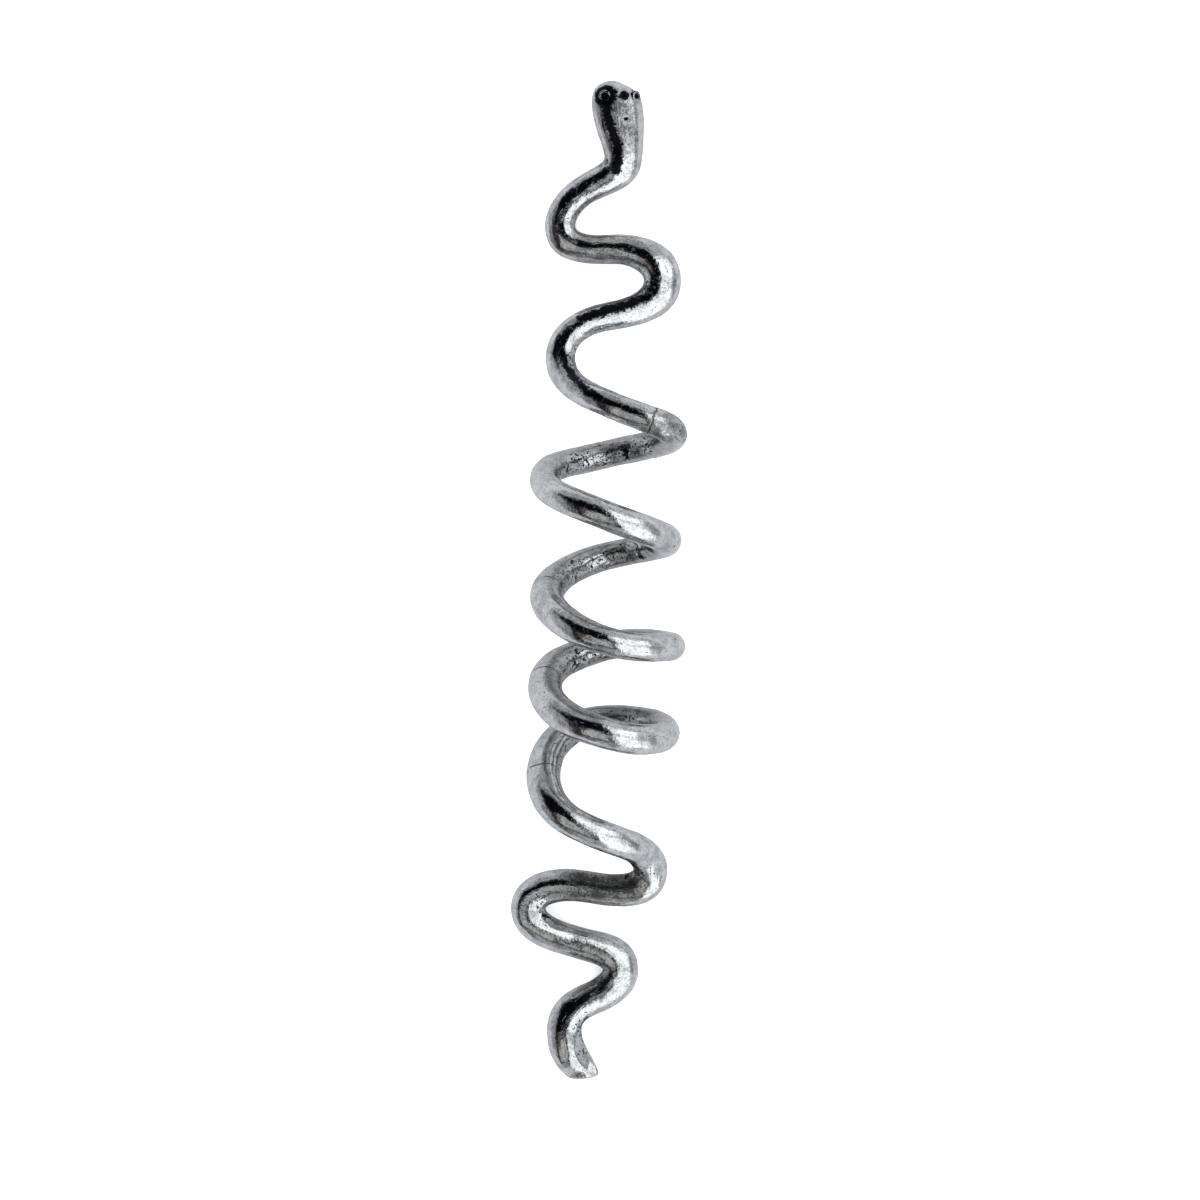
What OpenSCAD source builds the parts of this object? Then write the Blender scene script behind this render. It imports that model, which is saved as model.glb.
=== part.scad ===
// A spiral bun pin in the shape of a snake, lying on a table.
// It is one length of polished metal: a head with two ring-punched eyes, a
// zigzag neck, a coil that winds into the hair, a zigzag tail and a slanted tip.
// The head points to +Y, the coil's axis runs along Y and +Z is up.
// The origin is the middle of the box's footprint, on the table.

/* [Pin] */
// Length from the snout to the tail tip
pin_len = 90; // [80:1:100]
// Width across the coil
coil_w = 15.9; // [14:0.1:18]
// Height of the coil
coil_h = 14.4; // [13:0.1:16]
// How far the two flat ends sink from the coil's middle, as a share of the way to the table
end_droop = 1; // [0.6:0.05:1]

/* [Wire] */
// Thickness of the body, as a share of the thickness in the tables
thickness = 1; // [0.85:0.05:1.1]
// Number of sides round the wire
sides = 16; // [12:2:20]
// Number of rings along each quarter turn
rings = 9; // [6:1:10]

/* [Head] */
// Widest part of the head
head_w = 4.7; // [4:0.1:5]
// Height of the head, from crown to chin
head_h = 3.5; // [3:0.1:4]
// How far the crown is rolled to one side, in degrees
head_roll = 18; // [0:1:30]
// How much the snout is slanted across, in degrees
snout_slant = 10; // [0:1:20]
// Diameter of an eye's punched ring, to the middle of its groove
eye_d = 0.8; // [0.6:0.05:1]
// Depth of an eye's groove
eye_depth = 0.12; // [0.05:0.01:0.2]

/* [Tail] */
// Width of the flattened tail tip
tip_w = 2.8; // [2:0.1:3]
// Height of the flattened tail tip
tip_h = 1.6; // [1.2:0.1:2.4]
// How much the tip's end face is slanted, in degrees
tip_slant = 24; // [0:1:30]

/* [Hidden] */

// The sizes that the tables below are drawn for
drawn_len = 90;
drawn_w = 15.9;
drawn_h = 14.4;

// Height of the coil's middle, and how far the wire arches above or below it
coil_mid = 7.1;
arch_up = 5.8;
arch_down = -5.8;

// A row for each bend, the first on the right and then left and right in turn.
// across and along place the middle of the wire where it turns back, height
// is above the table, radius is how tightly it bends, dive is how steeply it
// passes from the upper to the lower side (0 lies flat, 90 is straight down,
// past 90 leans back) and thick is the wire's diameter there.
// across, along, height, radius, dive, thick
bends = [
    [ 2.25,  37.80,      1.7,  1.4,   0, 3.30],
    [-3.60,  31.75,      1.4,  2.6,   0, 2.65],
    [ 5.85,  26.95,      2.6,  2.8,   0, 3.25],
    [-3.55,  19.90,      4.6,  3.9,  20, 2.60],
    [ 6.60,  13.05, coil_mid,  6.0,  76, 2.70],
    [-4.95,   9.00, coil_mid,  7.0,  66, 2.65],
    [ 6.10,   3.50, coil_mid,  6.0,  84, 2.75],
    [-4.70,  -1.50, coil_mid,  6.8,  65, 3.10],
    [ 6.50,  -6.00, coil_mid,  6.0,  90, 2.60],
    [-4.85,  -9.60, coil_mid,  8.3,  57, 3.10],
    [ 5.95, -13.70, coil_mid,  6.3, 104, 2.70],
    [-5.00, -17.60, coil_mid, 11.0,  46, 3.10],
    [ 4.75, -26.10,      4.6,  2.8,  10, 2.95],
    [-6.45, -29.60,      2.4,  2.5,   0, 3.00],
    [ 2.00, -35.05,      1.6,  2.5,   0, 3.20],
    [-3.20, -40.50,      1.6,  3.8,   0, 3.05]
];

// A row for each run between two bends, at its middle: along places it, fall
// is how much it drops along for each step across, arch is how far it stands
// above the mean height of its two bends and thick is its diameter.
// along, fall, arch, thick
runs = [
    [ 35.50,  0.46,         0, 2.75],
    [ 29.80, -0.06,         0, 2.70],
    [ 23.75,  0.15,         0, 2.60],
    [ 15.45,  0.41,       3.6, 2.50],
    [ 11.35,  0.25, arch_down, 2.50],
    [  5.75,  0.41,   arch_up, 2.65],
    [  2.15,  0.22, arch_down, 2.50],
    [ -5.55,  0.28,   arch_up, 2.60],
    [ -5.95,  0.25, arch_down, 2.60],
    [-13.70,  0.28,   arch_up, 2.85],
    [-12.60,  0.05, arch_down, 2.60],
    [-22.70,  0.40,         4, 2.75],
    [-27.65, -0.18,         0, 2.90],
    [-32.60,  0.30,         0, 2.90],
    [-37.70,  0.43,         0, 3.00]
];

// The two ends: place, how far the wire leans to the right there and how
// far the last bend beside it reaches towards it, as a share of the way.
// across, along, height, lean, reach
snout = [ 1.45,  45.00, 1.9,  0, 1.0];
tip =   [-1.20, -44.95, 1.2, 30, 1.3];

// Sections of the head, as shares of head_w and head_h.
// distance from the snout, width, height
head_sections = [
    [0.00, 0.10, 0.10],
    [0.10, 0.26, 0.26],
    [0.45, 0.62, 0.64],
    [1.00, 0.86, 0.87],
    [1.70, 0.98, 0.98],
    [2.40, 1.00, 1.00],
    [3.70, 0.96, 0.97],
    [4.60, 0.88, 0.93],
    [5.60, 0.76, 0.89],
    [6.90, 0.70, 0.94]
];
// Where the snout's slant has died out, and where the eyes sit
slant_end = 3;
eye_from_snout = 1.7;
// How far each eye sits down from the crown, in degrees
eye_turn = 42;

// Sections of the tail: tip_share goes from the last bend's section to the
// tip's, and size scales the section down to round the end.
// distance from the tip, tip_share, size
tail_sections = [
    [0.00, 1.00, 0.40],
    [0.12, 1.00, 0.70],
    [0.40, 1.00, 0.90],
    [0.90, 1.00, 1.00],
    [2.40, 0.30, 1.06],
    [4.00, 0.05, 1.05],
    [5.40, 0.00, 1.00]
];

// Rings of the head and the tail, and how they crowd towards the two ends
head_rings = 16;
tail_rings = 12;
crowding = 1.6;

// Columns of the tables
X = 0;
Y = 1;
Z = 2;
RADIUS = 3;
DIVE = 4;
THICK = 5;
RUN_ALONG = 0;
RUN_FALL = 1;
RUN_ARCH = 2;
RUN_THICK = 3;
LEAN = 3;
REACH = 4;
SHARE_W = 1;
SHARE_H = 2;
TIP_SHARE = 1;
TIP_SIZE = 2;

function unit(v) = v / norm(v);
function last(list) = list[len(list) - 1];

// A cubic from a to b over a stretch dt, with end slopes ma and mb
function cubic(a, ma, b, mb, dt, t) =
    a * (2 * t ^ 3 - 3 * t ^ 2 + 1) + ma * dt * (t ^ 3 - 2 * t ^ 2 + t)
    + b * (3 * t ^ 2 - 2 * t ^ 3) + mb * dt * (t ^ 3 - t ^ 2);

// Smooth value at x of column c in a table sorted on its first column
function row_slope(table, c, i) =
    let (a = max(i - 1, 0), b = min(i + 1, len(table) - 1))
    (table[b][c] - table[a][c]) / (table[b][0] - table[a][0]);
function smooth(table, c, x, i = 0) =
    i < len(table) - 2 && x > table[i + 1][0] ? smooth(table, c, x, i + 1) :
    let (dx = table[i + 1][0] - table[i][0])
    cubic(table[i][c], row_slope(table, c, i), table[i + 1][c], row_slope(table, c, i + 1),
          dx, min(1, (x - table[i][0]) / dx));

// A row's place with the droop of the two ends, and a point at the pin's size
function drooped(row) = [row[X], row[Y], coil_mid + (row[Z] - coil_mid) * end_droop];
function sized(p) = [p[X] * coil_w / drawn_w, p[Y] * pin_len / drawn_len, p[Z] * coil_h / drawn_h];

// Half of the swing across between bend i and the next one
function half_swing(i) = (bends[i + 1][X] - bends[i][X]) / 2;

// Slope of the wire at bend b on the side of run i: it is square to the swing
// across, and left bends climb where right bends dive
function bend_slope(b, i) =
    let (pace = sqrt(bends[b][RADIUS] * abs(half_swing(i))),
         climb = bends[b][X] < 0 ? 1 : -1)
    [0, -pace * cos(bends[b][DIVE]), climb * pace * sin(bends[b][DIVE])];

// Place and slope of the wire in the middle of run i
function run_middle(i) =
    let (mean = (drooped(bends[i]) + drooped(bends[i + 1])) / 2)
    [mean[X], runs[i][RUN_ALONG], mean[Z] + runs[i][RUN_ARCH]];
function run_slope(i) =
    let (climb = drooped(bends[i + 1])[Z] - drooped(bends[i])[Z])
    [0, -runs[i][RUN_FALL] * abs(half_swing(i)), 1.5 * climb / PI];

// A point of run i at turn a, from 0 at its first bend to 180 at its last: it
// swings across as a circle does and follows cubics along and up
function run_point(i, a) =
    let (p = a < 90
        ? cubic(drooped(bends[i]), bend_slope(i, i), run_middle(i), run_slope(i), PI / 2, a / 90)
        : cubic(run_middle(i), run_slope(i), drooped(bends[i + 1]), bend_slope(i + 1, i),
                PI / 2, a / 90 - 1))
    sized([bends[i][X] + half_swing(i) * (1 - cos(a)), p[Y], p[Z]]);

// A point of one end, from its bend at 0 to its snout or tip at 1; way is 1
// where the wire runs towards the end and -1 where it comes from it
function end_point(bend, end, way, t) =
    let (far = norm([end[X] - bend[X], end[Y] - bend[Y]]))
    sized(cubic(drooped(bend), way * far * end[REACH] * [0, -1, 0],
                drooped(end), way * far * [sin(end[LEAN]), -cos(end[LEAN]), 0], 1, t));

// Thickness along the body: a row for each bend and for each run's middle
body_thick = [
    for (i = [0 : len(runs) - 1]) each [[2 * i, bends[i][THICK]], [2 * i + 1, runs[i][RUN_THICK]]],
    [2 * len(runs), last(bends)[THICK]]
];

// Rings as [middle, width, height, slant], from the snout to the tip
function head_ring(share) =
    let (s = share * last(head_sections)[0])
    [end_point(bends[0], snout, -1, 1 - share), head_w * smooth(head_sections, SHARE_W, s),
     head_h * smooth(head_sections, SHARE_H, s), max(0, 1 - s / slant_end) * tan(snout_slant)];
function body_ring(i, quarter) =
    let (d = thickness * smooth(body_thick, 1, 2 * i + quarter))
    [run_point(i, 90 * quarter), d, d, 0];
function tail_ring(share) =
    let (s = (1 - share) * last(tail_sections)[0],
         tip_share = smooth(tail_sections, TIP_SHARE, s), size = smooth(tail_sections, TIP_SIZE, s),
         d = thickness * last(bends)[THICK])
    [end_point(last(bends), tip, 1, share), size * (d + (tip_w - d) * tip_share),
     size * (d + (tip_h - d) * tip_share), tip_share * tan(tip_slant)];

stations = [
    for (k = [0 : head_rings - 1]) head_ring(pow(k / head_rings, crowding)),
    for (i = [0 : len(runs) - 1]) for (k = [0 : 2 * rings - 1]) body_ring(i, k / rings),
    for (k = [0 : tail_rings]) tail_ring(1 - pow(1 - k / tail_rings, crowding))
];

// Direction of the wire at each ring
count = len(stations);
along_wire = [
    for (k = [0 : count - 1])
        unit(stations[min(k + 1, count - 1)][0] - stations[max(k - 1, 0)][0])
];

// Upper side of each ring, carried along the wire without twisting it
function square_to(v, t) = unit(v - (v * t) * t);
crown = [sin(head_roll), 0, cos(head_roll)];
carried = [
    for (k = 0, u = square_to(crown, along_wire[0]); k < count;
         k = k + 1, u = k < count ? square_to(u, along_wire[k]) : u) u
];

// Turn that lays the tail tip flat, spread evenly along the wire
flat = square_to([0, 0, 1], last(along_wire));
full_turn = atan2(cross(last(carried), flat) * last(along_wire), last(carried) * flat);
function upper(k) =
    let (turn = full_turn * k / (count - 1))
    carried[k] * cos(turn) + cross(along_wire[k], carried[k]) * sin(turn);

// Points of one ring, turning about the wire
function ring(k) =
    let (t = along_wire[k], u = upper(k), side = cross(u, t),
         half_w = stations[k][1] / 2, half_h = stations[k][2] / 2)
    [for (j = [0 : sides - 1])
        let (w = half_w * cos(360 * j / sides), h = half_h * sin(360 * j / sides))
        stations[k][0] + w * side + h * u + w * stations[k][3] * t];

skin = [for (k = [0 : count - 1]) each ring(k)];
low = [for (c = [X, Y, Z]) min([for (p = skin) p[c]])];
high = [for (c = [X, Y, Z]) max([for (p = skin) p[c]])];

function corner(k, j) = k * sides + j % sides;
skin_faces = [
    [for (j = [0 : sides - 1]) j],
    for (k = [0 : count - 2]) for (j = [0 : sides - 1]) each [
        [corner(k, j), corner(k + 1, j), corner(k + 1, j + 1)],
        [corner(k, j), corner(k + 1, j + 1), corner(k, j + 1)]
    ],
    [for (j = [sides - 1 : -1 : 0]) corner(count - 1, j)]
];

// One eye, cut where the head's section turns by turn from the crown: a
// ring-shaped groove with a small dimple as its pupil
module eye_cut(turn) {
    share = eye_from_snout / last(head_sections)[0];
    half_w = head_ring(share)[1] / 2;
    half_h = head_ring(share)[2] / 2;
    up = square_to(crown, [0, -1, 0]);
    side = cross(up, [0, -1, 0]);
    outward = unit(side * sin(turn) / half_w + up * cos(turn) / half_h);
    translate(head_ring(share)[0] + side * half_w * sin(turn) + up * half_h * cos(turn))
        rotate([0, acos(outward[Z]), atan2(outward[Y], outward[X])]) {
            rotate_extrude($fn = 24)
                translate([eye_d / 2, 0])
                    circle(r = eye_depth, $fn = 16);
            sphere(r = eye_depth, $fn = 16);
        }
}

module snake_wire() {
    color([0.66, 0.67, 0.69])
        translate([-(low[X] + high[X]) / 2, -(low[Y] + high[Y]) / 2, -low[Z]])
            difference() {
                polyhedron(points = skin, faces = skin_faces, convexity = 10);
                for (turn = [-eye_turn, eye_turn]) eye_cut(turn);
            }
}

snake_wire();
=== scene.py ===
import math

import bpy
import numpy as np
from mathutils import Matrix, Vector
from mathutils.kdtree import KDTree


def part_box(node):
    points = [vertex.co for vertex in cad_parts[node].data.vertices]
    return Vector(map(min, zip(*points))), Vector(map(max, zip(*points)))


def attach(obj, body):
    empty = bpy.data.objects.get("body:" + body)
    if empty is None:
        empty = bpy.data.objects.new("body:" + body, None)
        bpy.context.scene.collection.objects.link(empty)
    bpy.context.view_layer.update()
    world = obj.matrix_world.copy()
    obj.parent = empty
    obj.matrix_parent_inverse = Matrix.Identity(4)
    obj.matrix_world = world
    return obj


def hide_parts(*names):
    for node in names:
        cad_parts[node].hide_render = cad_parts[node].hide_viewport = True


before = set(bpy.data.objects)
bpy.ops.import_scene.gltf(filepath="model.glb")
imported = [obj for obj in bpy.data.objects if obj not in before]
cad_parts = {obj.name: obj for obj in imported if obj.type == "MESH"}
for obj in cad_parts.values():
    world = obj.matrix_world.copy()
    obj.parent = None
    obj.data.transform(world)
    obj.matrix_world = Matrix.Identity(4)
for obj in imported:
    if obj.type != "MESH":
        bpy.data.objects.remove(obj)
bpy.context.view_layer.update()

MM = 0.001


# The course of the wire. The real pin is one metal wire, thick as a matchstick,
# bent back and forth for its two flat ends and wound left-handed in between.
# It bends back on the right and on the left in turn, from the head to the tail.
bends = [  # across, along, height, radius, dive in degrees, thickness, in mm
    (2.25, 37.80, 1.7, 1.4, 0, 3.30),
    (-3.60, 31.75, 1.4, 2.6, 0, 2.65),
    (5.85, 26.95, 2.6, 2.8, 0, 3.25),
    (-3.55, 19.90, 4.6, 3.9, 8, 2.60),
    (6.60, 13.05, 7.1, 6.0, 76, 2.70),
    (-4.95, 9.00, 7.1, 7.0, 66, 2.65),
    (6.10, 3.50, 7.1, 6.0, 84, 2.75),
    (-4.70, -1.50, 7.1, 6.8, 65, 3.10),
    (6.50, -6.00, 7.1, 6.0, 90, 2.60),
    (-4.85, -9.60, 7.1, 8.3, 57, 3.10),
    (5.95, -13.70, 7.1, 6.3, 104, 2.70),
    (-5.00, -17.60, 7.1, 11.0, 46, 3.10),
    (4.75, -26.10, 4.6, 2.8, 10, 2.95),
    (-6.45, -29.60, 2.4, 2.5, 0, 3.00),
    (2.00, -35.05, 1.6, 2.5, 0, 3.20),
    (-3.20, -40.50, 1.6, 3.8, 0, 3.05),
]
runs = [  # middle of each run between two bends: along, fall, arch, thickness
    (35.50, 0.46, 0, 2.75),
    (29.80, -0.06, 0, 2.70),
    (23.75, 0.15, 0, 2.60),
    (15.45, 0.41, 3.6, 2.50),
    (11.35, 0.25, -5.8, 2.50),
    (5.75, 0.41, 5.8, 2.65),
    (2.15, 0.22, -5.8, 2.50),
    (-5.55, 0.28, 5.8, 2.60),
    (-5.95, 0.25, -5.8, 2.60),
    (-13.70, 0.28, 5.8, 2.85),
    (-12.60, 0.05, -5.8, 2.60),
    (-22.70, 0.40, 4, 2.75),
    (-27.65, -0.18, 0, 2.90),
    (-32.60, 0.30, 0, 2.90),
    (-37.70, 0.43, 0, 3.00),
]
snout = Vector((1.45, 44.985, 1.9))
tail_tip = Vector((-1.20, -44.935, 1.2))
tail_lean = math.radians(30)
tail_reach = 1.3
mid_climb = 1.5  # how much steeper a run climbs at its middle than on the whole
head_part = 0
tail_part = len(runs) + 1


def cubic(a, slope_a, b, slope_b, stretch, t):
    """A smooth way from a to b with a slope at each end; t goes from 0 to 1 over the stretch."""
    return (a * (2 * t**3 - 3 * t**2 + 1) + slope_a * stretch * (t**3 - 2 * t**2 + t)
            + b * (3 * t**2 - 2 * t**3) + slope_b * stretch * (t**3 - t**2))


def bend_slope(bend, half_swing):
    """Slope of the wire where it turns back: left bends climb and right bends dive."""
    pace = math.sqrt(bend[3] * abs(half_swing))
    climb = 1 if bend[0] < 0 else -1
    dive = math.radians(bend[4])
    return Vector((0, -pace * math.cos(dive), climb * pace * math.sin(dive)))


def course(part, share):
    """A point of the wire in mm: part 0 is the head, then each run in turn, and last the tail."""
    first = Vector(bends[0][:3])
    last = Vector(bends[-1][:3])
    if part == head_part:
        away = Vector((0, (snout - first).to_2d().length, 0))
        return cubic(first, away, snout, away, 1, 1 - share)
    if part == tail_part:
        reach = (tail_tip - last).to_2d().length
        leaving = Vector((0, -reach * tail_reach, 0))
        leaning = reach * Vector((math.sin(tail_lean), -math.cos(tail_lean), 0))
        return cubic(last, leaving, tail_tip, leaning, 1, share)
    before, after = bends[part - 1], bends[part]
    along, fall, arch, _ = runs[part - 1]
    half_swing = (after[0] - before[0]) / 2
    middle = Vector(((before[0] + after[0]) / 2, along, (before[2] + after[2]) / 2 + arch))
    slope = Vector((0, -fall * abs(half_swing), mid_climb * (after[2] - before[2]) / math.pi))
    quarter = math.pi / 2
    if share < 0.5:
        p = cubic(Vector(before[:3]), bend_slope(before, half_swing), middle, slope, quarter, 2 * share)
    else:
        p = cubic(middle, slope, Vector(after[:3]), bend_slope(after, half_swing), quarter, 2 * share - 1)
    p.x = before[0] + half_swing * (1 - math.cos(math.pi * share))
    return p


# The path that the straight snake is wound along, a Bezier curve with a knot
# every eighth of a turn. Its tilt rolls the head to one side and lays the tail flat.
head_tilt = math.radians(162)
tail_tilt = math.radians(256)
knots = [(head_part, 0, 1)]
knots += [(part, quarter / 4, 0.25) for part in range(1, tail_part) for quarter in range(4)]
knots += [(tail_part, 0, 1), (tail_part, 1, 1)]


def handle(part, share, step):
    """A third of the way that the wire would go in one step, for a Bezier handle."""
    near = step * 1e-4
    return (course(part, share + near) - course(part, share)) * (1e4 / 3)


path_data = bpy.data.curves.new("course_of_the_wire", "CURVE")
path_data.dimensions = "3D"
path_data.twist_mode = "MINIMUM"
path_data.resolution_u = 48
path_data.use_deform_bounds = False
spline = path_data.splines.new("BEZIER")
spline.bezier_points.add(len(knots) - 1)
for k, (point, (part, share, step)) in enumerate(zip(spline.bezier_points, knots)):
    if share == 0 and k > 0:
        came_from, _, came_step = knots[k - 1]
        backward = handle(came_from, 1, -came_step)
    else:
        backward = handle(part, share, -step)
    point.handle_left_type = point.handle_right_type = "FREE"
    point.co = course(part, share) * MM
    point.handle_left = (course(part, share) + backward) * MM
    point.handle_right = (course(part, share) + handle(part, share, step)) * MM
    point.tilt = head_tilt + (tail_tilt - head_tilt) * k / (len(knots) - 1)
path = bpy.data.objects.new("course_of_the_wire", path_data)
bpy.context.collection.objects.link(path)


# The straight snake, before it is wound: a round rod that swells into the head,
# thins and thickens along the body, and is pressed flat and cut slantwise at the
# tail. The real one is cast, ground and tumbled until its edges are gone.
head_w, head_h = 4.7, 3.5
head_sections = [  # distance from the snout, share of the width, share of the height
    (0.00, 0.10, 0.10), (0.10, 0.26, 0.26), (0.45, 0.62, 0.64), (1.00, 0.86, 0.87), (1.70, 0.98, 0.98),
    (2.40, 1.00, 1.00), (3.70, 0.96, 0.97), (4.60, 0.89, 0.94), (5.60, 0.79, 0.92), (6.90, 0.72, 0.96),
]
snout_slant = math.radians(10)
slant_end = 3
tip_w, tip_h = 2.8, 1.6
tip_slant = math.radians(24)
tail_sections = [  # distance from the tip, how much of the tip's section, size
    (0.00, 1.00, 0.40), (0.12, 1.00, 0.70), (0.40, 1.00, 0.90), (0.90, 1.00, 1.00),
    (2.40, 0.30, 1.06), (4.00, 0.05, 1.05), (5.40, 0.00, 1.00),
]
body_thickness = [(2 * i, bend[5], 0) for i, bend in enumerate(bends)]
body_thickness += [(2 * i + 1, run[3], 0) for i, run in enumerate(runs)]
body_thickness.sort()
sides = 16
rings_a_run = 20
head_rings, tail_rings = 16, 12
crowding = 1.6  # the rings crowd towards the two ends by this power
grinding_allowance = 1.02  # cast this much thicker, for what grinding takes off again
smoothing_loss = 0.9746  # what subdivision leaves of a ring of sixteen sides


def smooth(table, column, x):
    """Smooth value of a table's column at x, which its first column gives."""
    i = 0
    while i < len(table) - 2 and x > table[i + 1][0]:
        i += 1

    def slope(k):
        a, b = table[max(k - 1, 0)], table[min(k + 1, len(table) - 1)]
        return (b[column] - a[column]) / (b[0] - a[0])
    stretch = table[i + 1][0] - table[i][0]
    t = min(1, (x - table[i][0]) / stretch)
    return cubic(table[i][column], slope(i), table[i + 1][column], slope(i + 1), stretch, t)


rings = []  # part, share, width, height, slant
for k in range(head_rings):
    share = (k / head_rings) ** crowding
    far = share * head_sections[-1][0]
    width = head_w * smooth(head_sections, 1, far)
    height = head_h * smooth(head_sections, 2, far)
    rings.append((head_part, share, width, height, snout_slant * max(0, 1 - far / slant_end)))
for part in range(1, tail_part):
    for k in range(rings_a_run):
        thick = smooth(body_thickness, 1, 2 * (part - 1 + k / rings_a_run))
        rings.append((part, k / rings_a_run, thick, thick, 0))
for k in range(tail_rings + 1):
    share = 1 - (1 - k / tail_rings) ** crowding
    far = (1 - share) * tail_sections[-1][0]
    flat = smooth(tail_sections, 1, far)
    size = smooth(tail_sections, 2, far)
    thick = bends[-1][5]
    width = size * (thick + (tip_w - thick) * flat)
    height = size * (thick + (tip_h - thick) * flat)
    rings.append((tail_part, share, width, height, tip_slant * flat))

chords = 8  # short straight pieces that each step's length is measured by
distances = [0.0]
for (part, share, *_), (next_part, next_share, *_) in zip(rings, rings[1:]):
    until = next_share if next_part == part else 1
    steps = [course(part, share + (until - share) * k / chords) for k in range(chords + 1)]
    distances.append(distances[-1] + sum((b - a).length for a, b in zip(steps, steps[1:])))

bpy.ops.object.select_all(action="DESELECT")
bpy.ops.mesh.primitive_circle_add(vertices=sides, radius=MM, fill_type="NGON", rotation=(math.pi / 2, 0, 0))
snake = bpy.context.object
snake.name = snake.data.name = "silver_snake"
bpy.ops.object.transform_apply(location=False, rotation=True, scale=False)
bpy.ops.object.mode_set(mode="EDIT")
old_w = old_h = 2 * MM
for (_, _, width, height, _), far, before in zip(rings, distances, [0.0] + distances):
    if far > 0:
        bpy.ops.mesh.extrude_region_move(TRANSFORM_OT_translate={"value": (0, -(far - before) * MM, 0)})
    new_w = width * grinding_allowance / smoothing_loss * MM
    new_h = height * grinding_allowance / smoothing_loss * MM
    bpy.ops.transform.resize(value=(new_w / old_w, 1, new_h / old_h), center_override=(0, -far * MM, 0))
    old_w, old_h = new_w, new_h
bpy.ops.mesh.select_all(action="SELECT")
bpy.ops.mesh.normals_make_consistent(inside=False)
bpy.ops.object.mode_set(mode="OBJECT")


def slant_ring(far, slant):
    """Turns one ring of the straight snake so that its right side trails, and keeps its width."""
    same_ring = 2e-7  # metres, far less than from one ring to the next
    bpy.ops.object.mode_set(mode="OBJECT")
    for vertex in snake.data.vertices:
        vertex.select = abs(vertex.co.y + far * MM) < same_ring
    bpy.ops.object.mode_set(mode="EDIT")
    middle = (0, -far * MM, 0)
    bpy.ops.transform.resize(value=(1 / math.cos(slant), 1, 1), center_override=middle)
    bpy.ops.transform.rotate(value=slant, orient_axis="Z", center_override=middle)
    bpy.ops.mesh.select_all(action="DESELECT")


bpy.ops.object.mode_set(mode="EDIT")
bpy.ops.mesh.select_mode(type="VERT")
bpy.ops.mesh.select_all(action="DESELECT")
for (*_, slant), far in zip(rings, distances):
    if slant > 0:
        slant_ring(far, slant)
bpy.ops.mesh.select_all(action="SELECT")
bpy.ops.mesh.normals_make_consistent(inside=False)
bpy.ops.object.mode_set(mode="OBJECT")


def finish_with(piece, name, kind, **settings):
    """Adds a modifier to a piece and applies it."""
    bpy.context.view_layer.objects.active = piece
    modifier = piece.modifiers.new(name, kind)
    for key, value in settings.items():
        setattr(modifier, key, value)
    bpy.ops.object.modifier_apply(modifier=name)


def skin():
    """Where every vertex of the snake is now, as rows of a table."""
    flat = np.empty(3 * len(snake.data.vertices))
    snake.data.vertices.foreach_get("co", flat)
    return flat.reshape(-1, 3)


def note_down(name, values):
    """Writes a value, or a row of three, on every vertex of the snake."""
    kind, key = ("FLOAT", "value") if values.ndim == 1 else ("FLOAT_VECTOR", "vector")
    snake.data.attributes.new(name, kind, "POINT").data.foreach_set(key, values.ravel())


def read_back(name, width):
    """What note_down wrote, as the modifiers have carried it on since."""
    values = np.empty(width * len(snake.data.vertices))
    snake.data.attributes[name].data.foreach_get("vector" if width == 3 else "value", values)
    return values.reshape(-1, 3) if width == 3 else values


# Winding. The straight snake follows the path. Bending squeezes the wire: its back
# leans to the inner side of a tight bend, where the metal is upset into a smooth
# hollow.
unwound = skin() / MM
note_down("unwound", unwound)
finish_with(snake, "winding", "CURVE", object=path, deform_axis="NEG_Y")
bpy.data.objects.remove(path)

# The middle of the wire in even steps, and how sharply it bends at each of them.
samples_a_part, even_steps, averaged = 48, 2400, 5
samples = []
for part in range(tail_part + 1):
    samples += [course(part, k / samples_a_part) for k in range(samples_a_part)]
middles = np.array(samples + [course(tail_part, 1)]) * MM
reached = np.concatenate([[0], np.cumsum(np.linalg.norm(np.diff(middles, axis=0), axis=1))])
even = np.linspace(0, reached[-1], even_steps)
middles = np.stack([np.interp(even, reached, middles[:, axis]) for axis in range(3)], axis=1)
bending = np.gradient(np.gradient(middles, even, axis=0), even, axis=0)
evened_out = np.ones(averaged) / averaged
bending = np.stack([np.convolve(bending[:, axis], evened_out, "same") for axis in range(3)], axis=1)
nearest = np.interp(-unwound[:, 1] * MM, even, np.arange(len(even))).round().astype(int)
wound = skin()
from_middle = wound - middles[nearest]
crowded = (from_middle * bending[nearest]).sum(axis=1)
wire_radius = 1.35 * MM
curvature = np.linalg.norm(bending[nearest], axis=1)
fully_bent = 0.15  # the wire's radius as a share of the bend's, from which a bend counts in full
inner_side = crowded / (wire_radius * np.maximum(curvature, fully_bent / wire_radius))
note_down("inner_side", inner_side)

back_lean = np.array([  # along, in mm, and how much the back leans there
    (-32.3, 0.22), (-31.0, -0.15), (-28.3, -0.15), (-27.0, 0.22),
]).T
full_lean_at = 0.6
level_bend = bending[nearest] * (1, 1, 0)
sharpness = np.linalg.norm(level_bend, axis=1, keepdims=True)
leaning = np.minimum(1, wire_radius * sharpness / full_lean_at)
leaning *= np.interp(wound[:, 1] / MM, *back_lean)[:, None]
height = np.maximum(from_middle[:, 2:], 0)
leant = wound + level_bend / np.maximum(sharpness, 1) * leaning * height**2 / wire_radius

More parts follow.
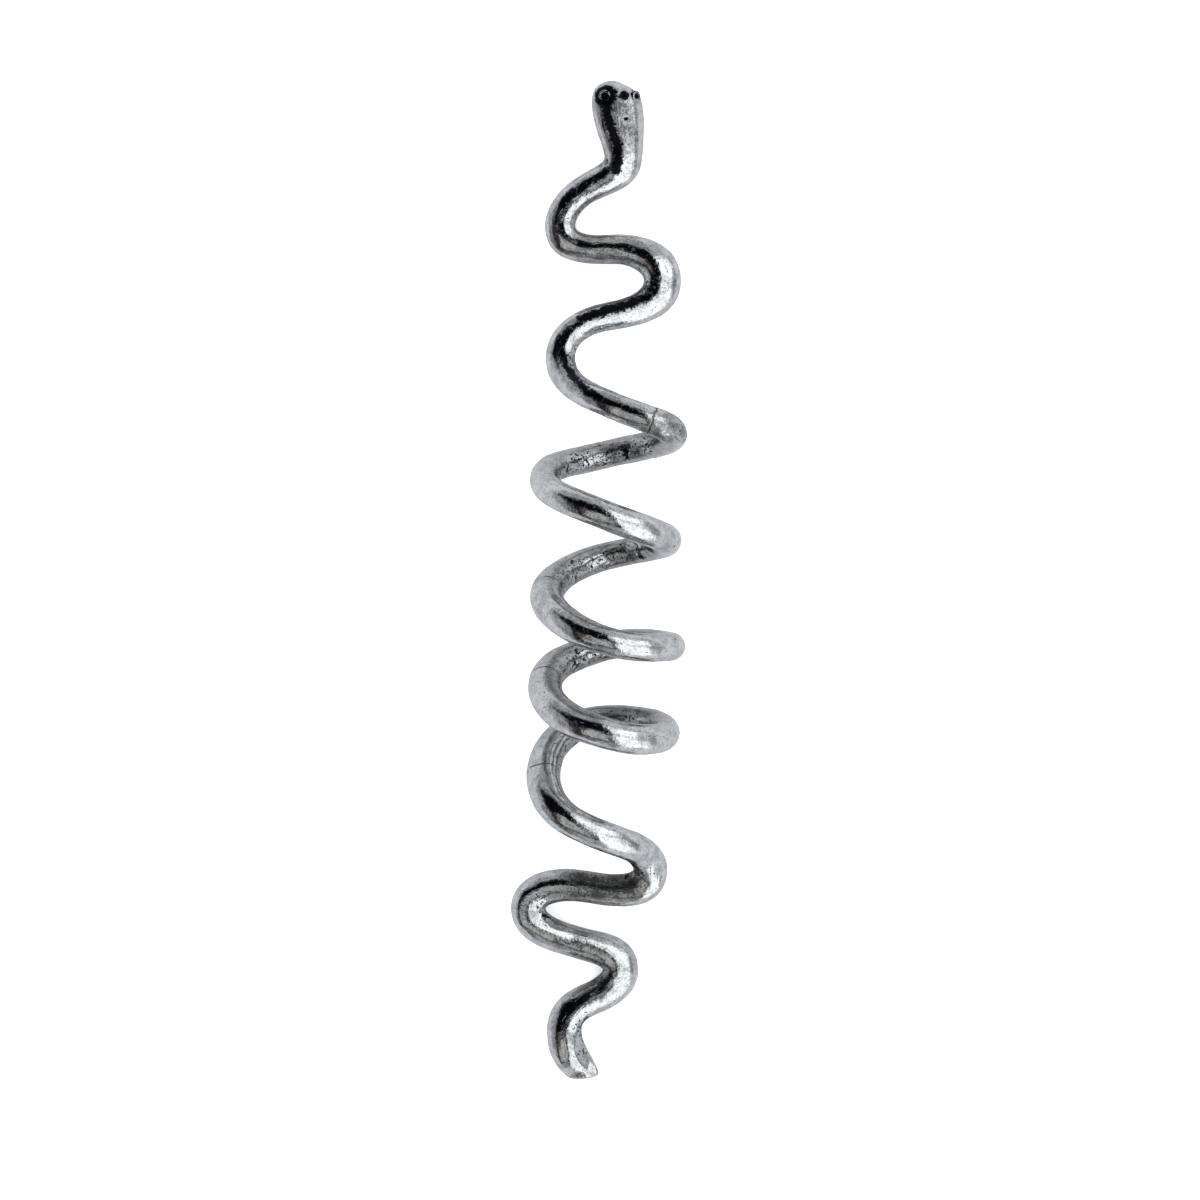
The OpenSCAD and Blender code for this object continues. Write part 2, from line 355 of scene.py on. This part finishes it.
# The metal crowded on the inner side of a tight bend is upset: it heaps up along the
# wire into a smooth hollow instead of folding.
in_rows = (len(rings), sides)
rows = leant.reshape(*in_rows, 3)
upset_from, upset_to = 0.30, 0.65
spread_rounds, spread_share = 2, 0.8  # how far it spreads along the wire
upset_rounds = 18
upset = np.clip((crowded - upset_from) / (upset_to - upset_from), 0, 1).reshape(*in_rows, 1)
for _ in range(spread_rounds):
    upset[1:-1] = np.maximum(upset[1:-1], spread_share * np.maximum(upset[:-2], upset[2:]))
for _ in range(upset_rounds):
    rows[1:-1] += upset[1:-1] / 2 * ((rows[:-2] + rows[2:]) / 2 - rows[1:-1])

# The tip of the tail is pressed: its back leans to the left, and a flat face falls
# from a soft ridge to its right edge.
tip_length, tip_blend = 5.0 * MM, 2.5 * MM
tip_lean = 0.22
least_height = 0.1 * MM
ridge_turn = math.radians(62)
ridge_crease = 0.6
forward = np.gradient(middles, even, axis=0)[nearest].reshape(*in_rows, 3)
rightward = np.stack([-forward[..., 1], forward[..., 0], 0 * forward[..., 0]], axis=2)
offset = rows - middles[nearest].reshape(*in_rows, 3)
in_tip = np.clip((even[nearest] - even[-1] + tip_length) / tip_blend, 0, 1).reshape(*in_rows, 1)
tip_height = np.maximum(offset[..., 2:].max(axis=1, keepdims=True), least_height)
rows -= rightward * tip_lean * in_tip * np.maximum(offset[..., 2:], 0)**2 / tip_height
half_way = len(rings) - tail_rings // 2
turns = np.arctan2(offset[half_way, :, 2], (offset * rightward)[half_way].sum(axis=1))
ridge, right_edge = np.abs(turns - ridge_turn).argmin(), np.abs(turns).argmin()
steps = (right_edge - ridge + sides // 2) % sides - sides // 2
for k in range(1, abs(steps)):
    side = (ridge + k * steps // abs(steps)) % sides
    on_face = rows[:, ridge] + (rows[:, right_edge] - rows[:, ridge]) * k / abs(steps)
    rows[:, side] += (on_face - rows[:, side]) * in_tip[:, side]
snake.data.vertices.foreach_set("co", rows.ravel())
ridge_line = snake.data.attributes.new("crease_edge", "FLOAT", "EDGE")
first_of_tip = (len(rings) - tail_rings + 1) * sides
for edge in snake.data.edges:
    if all(k % sides == ridge and k > first_of_tip for k in edge.vertices):
        ridge_line.data[edge.index].value = ridge_crease
finish_with(snake, "round_off", "SUBSURF", levels=2, render_levels=2)


# Grinding and setting down. The marks of grinding leave the wire a few hundredths
# of a millimetre out of round, which is what makes the reflections wander.
def grinding_marks(name, size, depth, proud):
    """Dents of one size, in mm. Proud is the share of their depth that stands out instead."""
    texture = bpy.data.textures.new(name, "CLOUDS")
    texture.noise_scale = size * MM
    texture.noise_depth = 1
    finish_with(snake, name, "DISPLACE", texture=texture, texture_coords="LOCAL", mid_level=1 - proud,
                strength=depth * MM)


grinding_marks("broad_flats", size=3.2, depth=0.10, proud=0.2)
grinding_marks("small_flats", size=0.9, depth=0.05, proud=0.4)
wound = skin()
cad_low, cad_high = (np.array(corner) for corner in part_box("snake_wire"))
set_down = (cad_low + cad_high) / 2 - (wound.min(0) + wound.max(0)) / 2
set_down[2] = cad_low[2] - wound[:, 2].min()
snake.location = set_down
bpy.ops.object.transform_apply(location=True, rotation=False, scale=False)
wound = skin()
unwound = read_back("unwound", 3)
inner_side = read_back("inner_side", 1)


# The eyes are small rings that stand on the head, each round a drilled pupil. One
# three-sided nick is cut in the crown between them, and the casting has left a
# few pinholes in the skin. The dark wash of the plating stays in all of these.
head_roll = math.radians(18)
eye_from_snout = 1.38
eye_turn = math.radians(42)
eye_d = 0.84
eye_wire = 0.12
pupil = 0.20
sockets = (0.95, 0.45)  # how far the dark wash reaches round the left eye and the right one
crown_nick = (2.30, 43.62)
nick_size, nick_depth = 0.42, 0.24
pinholes = [  # across, along, size
    (2.46, 41.50, 0.14), (1.85, 43.45, 0.08), (7.25, 13.30, 0.07), (6.75, 3.00, 0.07), (6.80, -5.30, 0.08),
    (-4.90, 32.40, 0.06),
]
overhead = 30  # mm, well above the pin
down = Vector((0, 0, -1))
stains = []


def stand(add, place, outward, **sizes):
    """A small solid made by a primitive, standing at a place on the skin with its axis outward."""
    bpy.ops.object.select_all(action="DESELECT")
    add(location=place, rotation=outward.to_track_quat("Z", "Y").to_euler(), **sizes)
    return bpy.context.object


def work(name, operation, tools):
    """Joins the small solids and adds them to the snake or cuts them out of it."""
    bpy.ops.object.select_all(action="DESELECT")
    for tool in tools:
        tool.select_set(True)
    bpy.context.view_layer.objects.active = tools[0]
    bpy.ops.object.join()
    finish_with(snake, name, "BOOLEAN", object=tools[0], operation=operation, solver="EXACT")
    bpy.data.objects.remove(tools[0])


crown = Vector((math.sin(head_roll), 0, math.cos(head_roll)))
right = Vector((math.cos(head_roll), 0, -math.sin(head_roll)))
eye_ring = course(head_part, eye_from_snout / head_sections[-1][0]) * MM + Vector(set_down)
half_w = head_w * smooth(head_sections, 1, eye_from_snout) / 2
half_h = head_h * smooth(head_sections, 2, eye_from_snout) / 2
rings_of_eyes, cutters = [], []
for turn, socket in zip((-eye_turn, eye_turn), sockets):
    outward = right * (math.sin(turn) / half_w) + crown * (math.cos(turn) / half_h)
    on_ring = right * math.sin(turn) * half_w + crown * math.cos(turn) * half_h
    _, place, _, _ = snake.ray_cast(eye_ring + on_ring * MM + outward * MM, -outward)
    rings_of_eyes.append(stand(
        bpy.ops.mesh.primitive_torus_add, place, outward, major_radius=eye_d / 2 * MM,
        minor_radius=eye_wire * MM, major_segments=48, minor_segments=16))
    cutters.append(stand(
        bpy.ops.mesh.primitive_uv_sphere_add, place, outward, radius=pupil * MM, segments=24,
        ring_count=12))
    stains.append((place, socket * MM, outward))
_, place, outward, _ = snake.ray_cast(Vector((*crown_nick, overhead)) * MM, down)
cutters.append(stand(
    bpy.ops.mesh.primitive_cone_add, place, outward, vertices=3, radius1=0, radius2=2 * nick_size * MM,
    depth=2 * nick_depth * MM))
stains.append((place, nick_size * MM, None))
for across, along, size in pinholes:
    _, place, outward, _ = snake.ray_cast(Vector((across, along, overhead)) * MM, down)
    cutters.append(stand(
        bpy.ops.mesh.primitive_ico_sphere_add, place, outward, radius=size * MM, subdivisions=2))
    stains.append((place, size * MM, None))
work("eye_rings", "UNION", rings_of_eyes)
work("punch_marks", "DIFFERENCE", cutters)
bpy.ops.object.select_all(action="DESELECT")
snake.select_set(True)
bpy.context.view_layer.objects.active = snake
bpy.ops.object.shade_smooth_by_angle(angle=math.radians(40))


# What the finish needs to know of each place on the skin: where it was on the
# straight snake, how far it is from the nearest crease across the wire, and how
# much of the dark wash it holds, together with the dark reflection bands painted on
# with it. The polishing wheel can't reach the inner side of a bend, nor the pits.
creases = [(4, 0.765), (7, 0.945), (9, 0.95), (11, 0.995)]  # part of the wire, share of it
part_starts = {}
for (part, *_), far in zip(rings, distances):
    part_starts.setdefault(part, far)
crease_at = []
for part, share in creases:
    start, end = part_starts[part], part_starts[part + 1]
    crease_at.append(start + share * (end - start))
along = -unwound[:, 1]
to_creases = along[:, None] - np.array(crease_at)
from_crease = np.take_along_axis(to_creases, np.abs(to_creases).argmin(axis=1)[:, None], axis=1)[:, 0]

before_work = KDTree(len(wound))
for k, place in enumerate(wound):
    before_work.insert(place, k)
before_work.balance()
same = [before_work.find(vertex.co)[1] for vertex in snake.data.vertices]
now = skin()
wash_and_painted_bands = np.zeros(len(now))
fade, socket_fade = 0.12 * MM, 0.7 * MM
dark_at_reach = 0.7
wiped_above, wiped_beyond = 0.04 * MM, 0.25 * MM  # above the skin, and away from the pupil
left_by_wiping = 0.42
for place, reach, outward in stains:
    offset = now - np.array(place)
    away = np.linalg.norm(offset, axis=1)
    dark = np.clip((reach - away) / (fade if outward is None else socket_fade) + dark_at_reach, 0, 1)
    if outward is not None:
        lift = offset @ np.array(outward.normalized())
        wiped = (lift > wiped_above) & (away > wiped_beyond)
        dark[wiped] = np.minimum(dark[wiped], left_by_wiping)
    wash_and_painted_bands = np.maximum(wash_and_painted_bands, dark)

# The crown of the head and a few runs are left duller, as cast. Dark reflection bands
# are painted in the wash's colour down the left of the head and through the bends of
# the neck; on the head the band is in part the dark wash too.
crown_from, crown_to = -0.80, 0.95  # mm from the middle
crown_start, crown_end = 0.8, 7.5  # mm from the snout
dull_runs = [  # middle across, from and to along, half width, in mm, and how dull
    (0.4, -28.9, -25.9, 4.2, 1.0), (0.6, 28.0, 30.4, 3.2, 0.4), (-0.2, -38.3, -35.0, 2.2, 0.6),
    (6.5, 12.0, 15.2, 2.9, 0.75),
]
# Painted reflections: the dark bands that polished metal shows there, painted on the top of the wire.
painted_reflection_bands = [  # across, along, half width, in mm
    [(0.66, 43.2, 0.50), (0.84, 41.6, 0.42), (1.18, 40.5, 0.40), (1.58, 39.4, 0.42), (1.74, 38.2, 0.40),
     (1.50, 36.9, 0.42)],
    [(4.6, 25.5, 0.25), (1.9, 24.5, 0.45), (0.1, 24.0, 0.40), (-1.7, 23.4, 0.25)],
    [(-3.3, 20.6, 0.25), (-2.95, 19.2, 0.28), (-2.2, 18.0, 0.30), (-1.1, 16.9, 0.32), (0.1, 16.2, 0.28)],
]
side_fade, end_fade, band_fade = 1.5, 0.5, 0.9
dabs = 40  # that a stripe is made up of
far_along = along[same]
reach_along = far_along.clip(0) * MM
middle_here = np.stack([np.interp(reach_along, even, middles[:, axis]) for axis in range(3)], axis=1)
off_middle = (now - set_down - middle_here) / MM
sideways = off_middle @ np.array(right)
on_top = off_middle[:, 2] > 0


def fade_in(values, start, length):
    """Rises from 0 at the start to 1 a length further on. With both negated, it falls."""
    return np.clip((values - start) / length, 0, 1)


as_cast = (fade_in(sideways, crown_from, length=0.3) * fade_in(-sideways, -crown_to, length=0.4) * on_top
           * fade_in(-far_along, -crown_end, length=2) * fade_in(far_along, crown_start, length=1))
across_now, along_now = now[:, 0] / MM, now[:, 1] / MM
for across, low, high, half, dullness in dull_runs:
    dull_here = dullness * on_top * fade_in(-np.abs(across_now - across), -half, side_fade)
    dull_here = dull_here * fade_in(along_now, low, end_fade) * fade_in(-along_now, -high, end_fade)
    as_cast = np.maximum(as_cast, dull_here)
# Paints the dark reflection bands on the top of the wire, dab by dab, in with the wash.
for band in painted_reflection_bands:
    knot = np.linspace(0, len(band) - 1, dabs)
    line = np.stack([np.interp(knot, range(len(band)), column) for column in zip(*band)], axis=1)
    apart = np.hypot(across_now[:, None] - line[:, 0], along_now[:, None] - line[:, 1]) - line[:, 2]
    wash_and_painted_bands = np.maximum(wash_and_painted_bands, on_top * fade_in(-apart.min(axis=1), -band_fade / 2, band_fade))
# The wash and the painted dark reflection bands are noted down together as one value.
for name, values in (("wash_and_painted_bands", wash_and_painted_bands), ("as_cast", as_cast), ("from_crease", from_crease[same])):
    note_down(name, values)
for name in ("unwound", "inner_side"):
    snake.data.attributes.remove(snake.data.attributes[name])
note_down("unwound", unwound[same])
note_down("inner_side", inner_side[same])


# The finish: cast metal with an old-silver plating, tumbled bright. The dark wash
# is wiped off the outside and stays in the inner sides of the bends, in the pits
# and along a few runs, and dark reflection bands are painted on in its colour.
# Long marks of grinding run along the wire.
def add_node(tree, kind, where=(0, 0), **settings):
    """Adds a shader node. A setting whose name starts with in_ is the value of that input."""
    made = tree.nodes.new("ShaderNode" + kind)
    made.location = where
    for key, value in settings.items():
        if key.startswith("in_"):
            slot = key[3:]
            made.inputs[int(slot) if slot.isdigit() else slot.replace("_", " ")].default_value = value
        else:
            setattr(made, key, value)
    return made


def join(tree, *pairs):
    """Links outputs to inputs, a pair at a time."""
    for out_socket, in_socket in pairs:
        tree.links.new(out_socket, in_socket)


silver = bpy.data.materials.new("old_silver_plate")
silver.use_nodes = True
tree = silver.node_tree
shader = tree.nodes["Principled BSDF"]
shader.inputs["Metallic"].default_value = 1.0
coords = add_node(tree, "TexCoord", (-1900, 0))
straight = add_node(tree, "Attribute", (-1900, -300), attribute_name="unwound")
inner = add_node(tree, "Attribute", (-1900, -600), attribute_name="inner_side")
noted_wash_and_bands = add_node(tree, "Attribute", (-1900, -800), attribute_name="wash_and_painted_bands")
crease = add_node(tree, "Attribute", (-1900, -1000), attribute_name="from_crease")
unpolished = add_node(tree, "Attribute", (-1900, -1200), attribute_name="as_cast")


def between(value, low, high, to_low=0.0, to_high=1.0, where=(0, 0), soft=True):
    """Spreads a value's range from low to high over another range."""
    spread = add_node(tree, "MapRange", where, interpolation_type="SMOOTHSTEP" if soft else "LINEAR",
                      in_From_Min=low, in_From_Max=high, in_To_Min=to_low, in_To_Max=to_high)
    join(tree, (value, spread.inputs["Value"]))
    return spread.outputs["Result"]


def reckon(operation, *values, where=(0, 0)):
    """One sum on values, each a number or a node's output."""
    sum_node = add_node(tree, "Math", where, operation=operation)
    for k, value in enumerate(values):
        if isinstance(value, (int, float)):
            sum_node.inputs[k].default_value = value
        else:
            join(tree, (value, sum_node.inputs[k]))
    return sum_node.outputs[0]


def noise(vector, scale, detail, roughness, where):
    """A cloudy pattern of one size, from 0 to 1, mostly near a half."""
    made = add_node(tree, "TexNoise", where, in_Scale=scale, in_Detail=detail, in_Roughness=roughness)
    join(tree, (vector, made.inputs["Vector"]))
    return made.outputs["Fac"]


# The grain of the cast skin, two sizes of it, and long marks of drawing and
# grinding that run along the wire.
mottle = noise(coords.outputs["Object"], scale=900, detail=4, roughness=0.65, where=(-1600, 200))
grains = noise(coords.outputs["Object"], scale=4200, detail=3, roughness=0.65, where=(-1600, 0))
drawn_place = add_node(tree, "Mapping", (-1750, -300), in_Scale=(1.5, 0.2, 1.5))
join(tree, (straight.outputs["Vector"], drawn_place.inputs["Vector"]))
drawn = noise(drawn_place.outputs["Vector"], scale=1.0, detail=3, roughness=0.55, where=(-1600, -300))

# The dark wash: specks in the inner sides of the bends, all of the pits, thin
# lines along the wire here and there, and the creases across it.
crease_wobble = 0.9  # mm that a crease wanders
crease_strength = 0.85
recess = between(inner.outputs["Fac"], 0.1, 0.95, to_high=0.13, where=(-1600, -600), soft=False)
specks = between(reckon("ADD", grains, recess, where=(-1400, -500)), 0.64, 0.72, where=(-1200, -500))
patches = between(reckon("ADD", mottle, recess, where=(-1400, -600)), 0.69, 0.75, where=(-1200, -600))
wash_and_bands = reckon("MAXIMUM", specks, patches, where=(-1000, -550))
off_line = reckon("ABSOLUTE", reckon("SUBTRACT", drawn, 0.5, where=(-1400, -300)), where=(-1300, -300))
lines = between(off_line, 0.009, 0.003, where=(-1200, -300))
line_places = between(mottle, 0.54, 0.60, where=(-1200, -100))
lines = reckon("MULTIPLY", lines, line_places, where=(-1000, -200))
wash_and_bands = reckon("MAXIMUM", wash_and_bands, lines, where=(-800, -300))
wobble = reckon("MULTIPLY_ADD", mottle, crease_wobble, -crease_wobble / 2, where=(-1400, -1000))
off_crease = reckon("ADD", crease.outputs["Fac"], wobble, where=(-1200, -1000))
off_crease = reckon("ABSOLUTE", off_crease, where=(-1100, -1000))
crease_line = between(off_crease, 0.11, 0.05, where=(-1000, -1000))
crease_line = reckon("MULTIPLY", crease_line, crease_strength, where=(-900, -900))
wash_and_bands = reckon("MAXIMUM", wash_and_bands, crease_line, where=(-700, -400))

# The stains: the wash that was noted down on the skin, and the dark reflection bands painted with it, with
# a ragged edge.
ragged_grains, ragged_mottle = 1.5, 0.8
ragged = reckon("MULTIPLY", grains, ragged_grains, where=(-1000, -700))
ragged = reckon("MULTIPLY_ADD", mottle, ragged_mottle, ragged, where=(-900, -700))
ragged = reckon("ADD", ragged, noted_wash_and_bands.outputs["Fac"], where=(-800, -700))
ragged_wash_and_bands = between(ragged, 1.52, 1.68, where=(-700, -700))
only_here = between(noted_wash_and_bands.outputs["Fac"], 0, 0.2, where=(-700, -800))
ragged_wash_and_bands = reckon("MULTIPLY", ragged_wash_and_bands, only_here, where=(-650, -700))
wash_and_bands = reckon("MAXIMUM", wash_and_bands, ragged_wash_and_bands, where=(-600, -500))

# Colour: a neutral silver, mottled, darker where it is left as cast and in the wash, and near black where
# the dark reflection bands are painted.
dark_silver, light_silver = (0.36, 0.37, 0.385, 1), (0.66, 0.67, 0.67, 1)
dull_metal = (0.12, 0.125, 0.125, 1)
# The colour of the dark wash, which also paints the dark reflection bands.
wash_and_band_colour = (0.010, 0.011, 0.016, 1)
mottled = add_node(tree, "ValToRGB", (-1050, 200))
for stop, position, colour in zip(mottled.color_ramp.elements, (0.41, 0.57), (dark_silver, light_silver)):
    stop.position = position
    stop.color = colour
grit = reckon("MULTIPLY", mottle, 0.5, where=(-1300, 250))
grit = reckon("MULTIPLY_ADD", grains, 0.5, grit, where=(-1200, 200))
dull = between(grit, 0.54, 0.46, to_low=0.5, to_high=1.0, where=(-900, 100))
dull = reckon("MULTIPLY", unpolished.outputs["Fac"], dull, where=(-800, 100))
dulled = add_node(tree, "Mix", (-700, 250), data_type="RGBA", in_7=dull_metal)
coloured = add_node(tree, "Mix", (-400, 200), data_type="RGBA", in_7=wash_and_band_colour)
join(tree, (grit, mottled.inputs["Fac"]), (dull, dulled.inputs["Factor"]),
     (mottled.outputs["Color"], dulled.inputs[6]), (wash_and_bands, coloured.inputs["Factor"]),
     (dulled.outputs[2], coloured.inputs[6]), (coloured.outputs[2], shader.inputs["Base Color"]))

# Gloss: bright where it is tumbled, dull where it is left as cast, in the wash and in the painted
# reflection bands.
roughness_as_cast, roughness_in_wash = 0.30, 0.25
rough = between(mottle, 0.3, 0.7, to_low=0.04, to_high=0.09, where=(-800, -600), soft=False)
rough = reckon("MULTIPLY_ADD", dull, roughness_as_cast, rough, where=(-600, -600))
rough = reckon("MULTIPLY_ADD", wash_and_bands, roughness_in_wash, rough, where=(-400, -500))
join(tree, (rough, shader.inputs["Roughness"]))

# Relief: the grain, the long marks, and the wash and the painted reflection bands a little sunk.
grain_relief, mottle_relief, drawn_relief, wash_relief = 0.22, 0.25, 0.6, -0.1
relief = reckon("MULTIPLY", mottle, mottle_relief, where=(-700, -800))
relief = reckon("MULTIPLY_ADD", grains, grain_relief, relief, where=(-600, -800))
relief = reckon("MULTIPLY_ADD", drawn, drawn_relief, relief, where=(-500, -900))
relief = reckon("MULTIPLY_ADD", wash_and_bands, wash_relief, relief, where=(-400, -900))
bump = add_node(tree, "Bump", (-250, -800), in_Strength=1.0, in_Distance=0.00008)
join(tree, (relief, bump.inputs["Height"]), (bump.outputs["Normal"], shader.inputs["Normal"]))

snake.data.materials.clear()
snake.data.materials.append(silver)
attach(snake, "root")
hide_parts("snake_wire")


# The table top that the pin lies on: plain, pale and matt. The picture is exposed
# so long that the table comes out white, and the metal shows it darker.
table_colour = (0.93, 0.93, 0.93, 1)
table_in_metal = (0.275, 0.282, 0.294, 1)
bpy.ops.mesh.primitive_circle_add(vertices=96, radius=3, fill_type="NGON", location=(0, 0, 0))
table = bpy.context.object
table.name = table.data.name = "table_top"
pale = bpy.data.materials.new("pale_table")
pale.use_nodes = True
pale_tree = pale.node_tree
pale_shader = pale_tree.nodes["Principled BSDF"]
pale_shader.inputs["Roughness"].default_value = 0.9
pale_shader.inputs["Specular IOR Level"].default_value = 0.1
ray = add_node(pale_tree, "LightPath", (-600, 0))
shown = add_node(pale_tree, "Mix", (-300, 0), data_type="RGBA", in_6=table_colour, in_7=table_in_metal)
join(pale_tree, (ray.outputs["Is Glossy Ray"], shown.inputs["Factor"]),
     (shown.outputs[2], pale_shader.inputs["Base Color"]))
table.data.materials.append(pale)


# The studio: pale walls, one big soft window of light to the right, split by its
# bar, and a dark screen with an opening above on the left, which polished metal
# needs for its black bands. All of it is laid out on a chart of the room as the pin
# sees it, where (0, 0) is straight up, 0.7 away is the horizon and 1 is straight down.
room = bpy.data.worlds.new("studio")
bpy.context.scene.world = room
room.use_nodes = True
room.cycles.sampling_method = "NONE"
tree = room.node_tree
tree.nodes.clear()
look = add_node(tree, "TexCoord", (-2200, 0))
split = add_node(tree, "SeparateXYZ", (-2000, 0))
not_quite_zero = 2.0001  # a hair over 2, so that nothing is divided by zero straight down
above = add_node(tree, "Math", (-1800, -200), operation="MULTIPLY_ADD", in_1=2.0, in_2=not_quite_zero)
root = add_node(tree, "Math", (-1600, -200), operation="SQRT")
chart_x = add_node(tree, "Math", (-1400, 100), operation="DIVIDE")
chart_y = add_node(tree, "Math", (-1400, -100), operation="DIVIDE")
chart = add_node(tree, "CombineXYZ", (-1200, 0))
join(tree, (look.outputs["Generated"], split.inputs[0]), (split.outputs["Z"], above.inputs[0]),
     (above.outputs[0], root.inputs[0]),
     (split.outputs["X"], chart_x.inputs[0]), (root.outputs[0], chart_x.inputs[1]),
     (split.outputs["Y"], chart_y.inputs[0]), (root.outputs[0], chart_y.inputs[1]),
     (chart_x.outputs[0], chart.inputs["X"]), (chart_y.outputs[0], chart.inputs["Y"]))
bare_room = (0.47, 0.485, 0.49, 1)
seen = None


def panel(low, high, soft, colour):
    """Hangs one panel in the room, over what is there already: its corners are on the chart."""
    global seen
    middle = ((low[0] + high[0]) / 2, (low[1] + high[1]) / 2, 0)
    placed = add_node(tree, "Mapping", (-900, 0), vector_type="TEXTURE", in_Location=middle)
    parts = add_node(tree, "SeparateXYZ", (-700, 0))
    join(tree, (chart.outputs[0], placed.inputs["Vector"]), (placed.outputs["Vector"], parts.inputs[0]))
    masks = []
    for axis in range(2):
        half = (high[axis] - low[axis]) / 2
        away = add_node(tree, "Math", (-500, 0), operation="ABSOLUTE")
        edge = add_node(tree, "MapRange", (-300, 0), interpolation_type="SMOOTHSTEP",
                        in_From_Min=half + soft, in_From_Max=half - soft)
        join(tree, (parts.outputs[axis], away.inputs[0]), (away.outputs[0], edge.inputs["Value"]))
        masks.append(edge.outputs["Result"])
    both = add_node(tree, "Math", (-100, 0), operation="MULTIPLY")
    laid = add_node(tree, "Mix", (100, 0), data_type="RGBA", in_7=(*colour, 1))
    join(tree, (masks[0], both.inputs[0]), (masks[1], both.inputs[1]),
         (both.outputs[0], laid.inputs["Factor"]))
    if seen is None:
        laid.inputs[6].default_value = bare_room
    else:
        join(tree, (seen, laid.inputs[6]))
    seen = laid.outputs[2]


panel((-1.1, -1.0), (-0.45, 1.0), 0.15, (0.49, 0.495, 0.53))  # the pale wall on the left
panel((0.16, 0.10), (0.50, 0.78), 0.12, (0.75, 0.77, 0.77))  # daylight above the window
panel((0.12, -0.70), (0.56, 0.34), 0.04, (1.8, 1.85, 1.85))  # the window
panel((0.10, -0.045), (0.70, -0.005), 0.012, (0.12, 0.12, 0.12))  # its bar
panel((-0.60, -0.80), (-0.26, -0.30), 0.09, (0.21, 0.205, 0.20))  # the shade below the screen
panel((-0.74, -0.28), (-0.52, -0.06), 0.06, (0.36, 0.34, 0.335))  # a wooden shelf
panel((-0.52, -0.47), (0.10, 0.44), 0.015, (0.004, 0.005, 0.009))  # the dark screen
panel((-0.40, -0.40), (0.02, -0.03), 0.02, (0.60, 0.605, 0.585))  # the opening in it
panel((-0.41, -0.20), (-0.31, -0.03), 0.02, (0.22, 0.13, 0.10))  # a wooden post in the opening
plain = add_node(tree, "Background", (400, -200), in_Color=(1, 1, 1, 1), in_Strength=3.2)
dressed = add_node(tree, "Background", (400, 0))
rays = add_node(tree, "LightPath", (100, 400))
either = add_node(tree, "Math", (300, 400), operation="MAXIMUM")
chosen = add_node(tree, "MixShader", (600, 0))
world_out = add_node(tree, "OutputWorld", (800, 0))
join(tree, (seen, dressed.inputs["Color"]), (rays.outputs["Is Camera Ray"], either.inputs[0]),
     (rays.outputs["Is Diffuse Ray"], either.inputs[1]), (either.outputs[0], chosen.inputs[0]),
     (dressed.outputs[0], chosen.inputs[1]), (plain.outputs[0], chosen.inputs[2]),
     (chosen.outputs[0], world_out.inputs["Surface"]))


# The camera looks straight down on the pin through a long lens. The picture is
# 1200 pixels wide and 1002 of them are the pin's length.
camera_height = 0.9  # above the level of the wire's middle
wire_level = 0.005
aim_across, aim_along = 0.0001, -0.0018
pin_length = 0.09
frame_width = 1200 / 1002 * pin_length
camera_data = bpy.data.cameras.new("camera")
camera_data.lens = camera_data.sensor_width * camera_height / frame_width
camera = bpy.data.objects.new("camera", camera_data)
camera.location = (aim_across, aim_along, camera_height + wire_level)
bpy.context.collection.objects.link(camera)
bpy.context.scene.camera = camera
bpy.context.scene.view_settings.view_transform = "Standard"
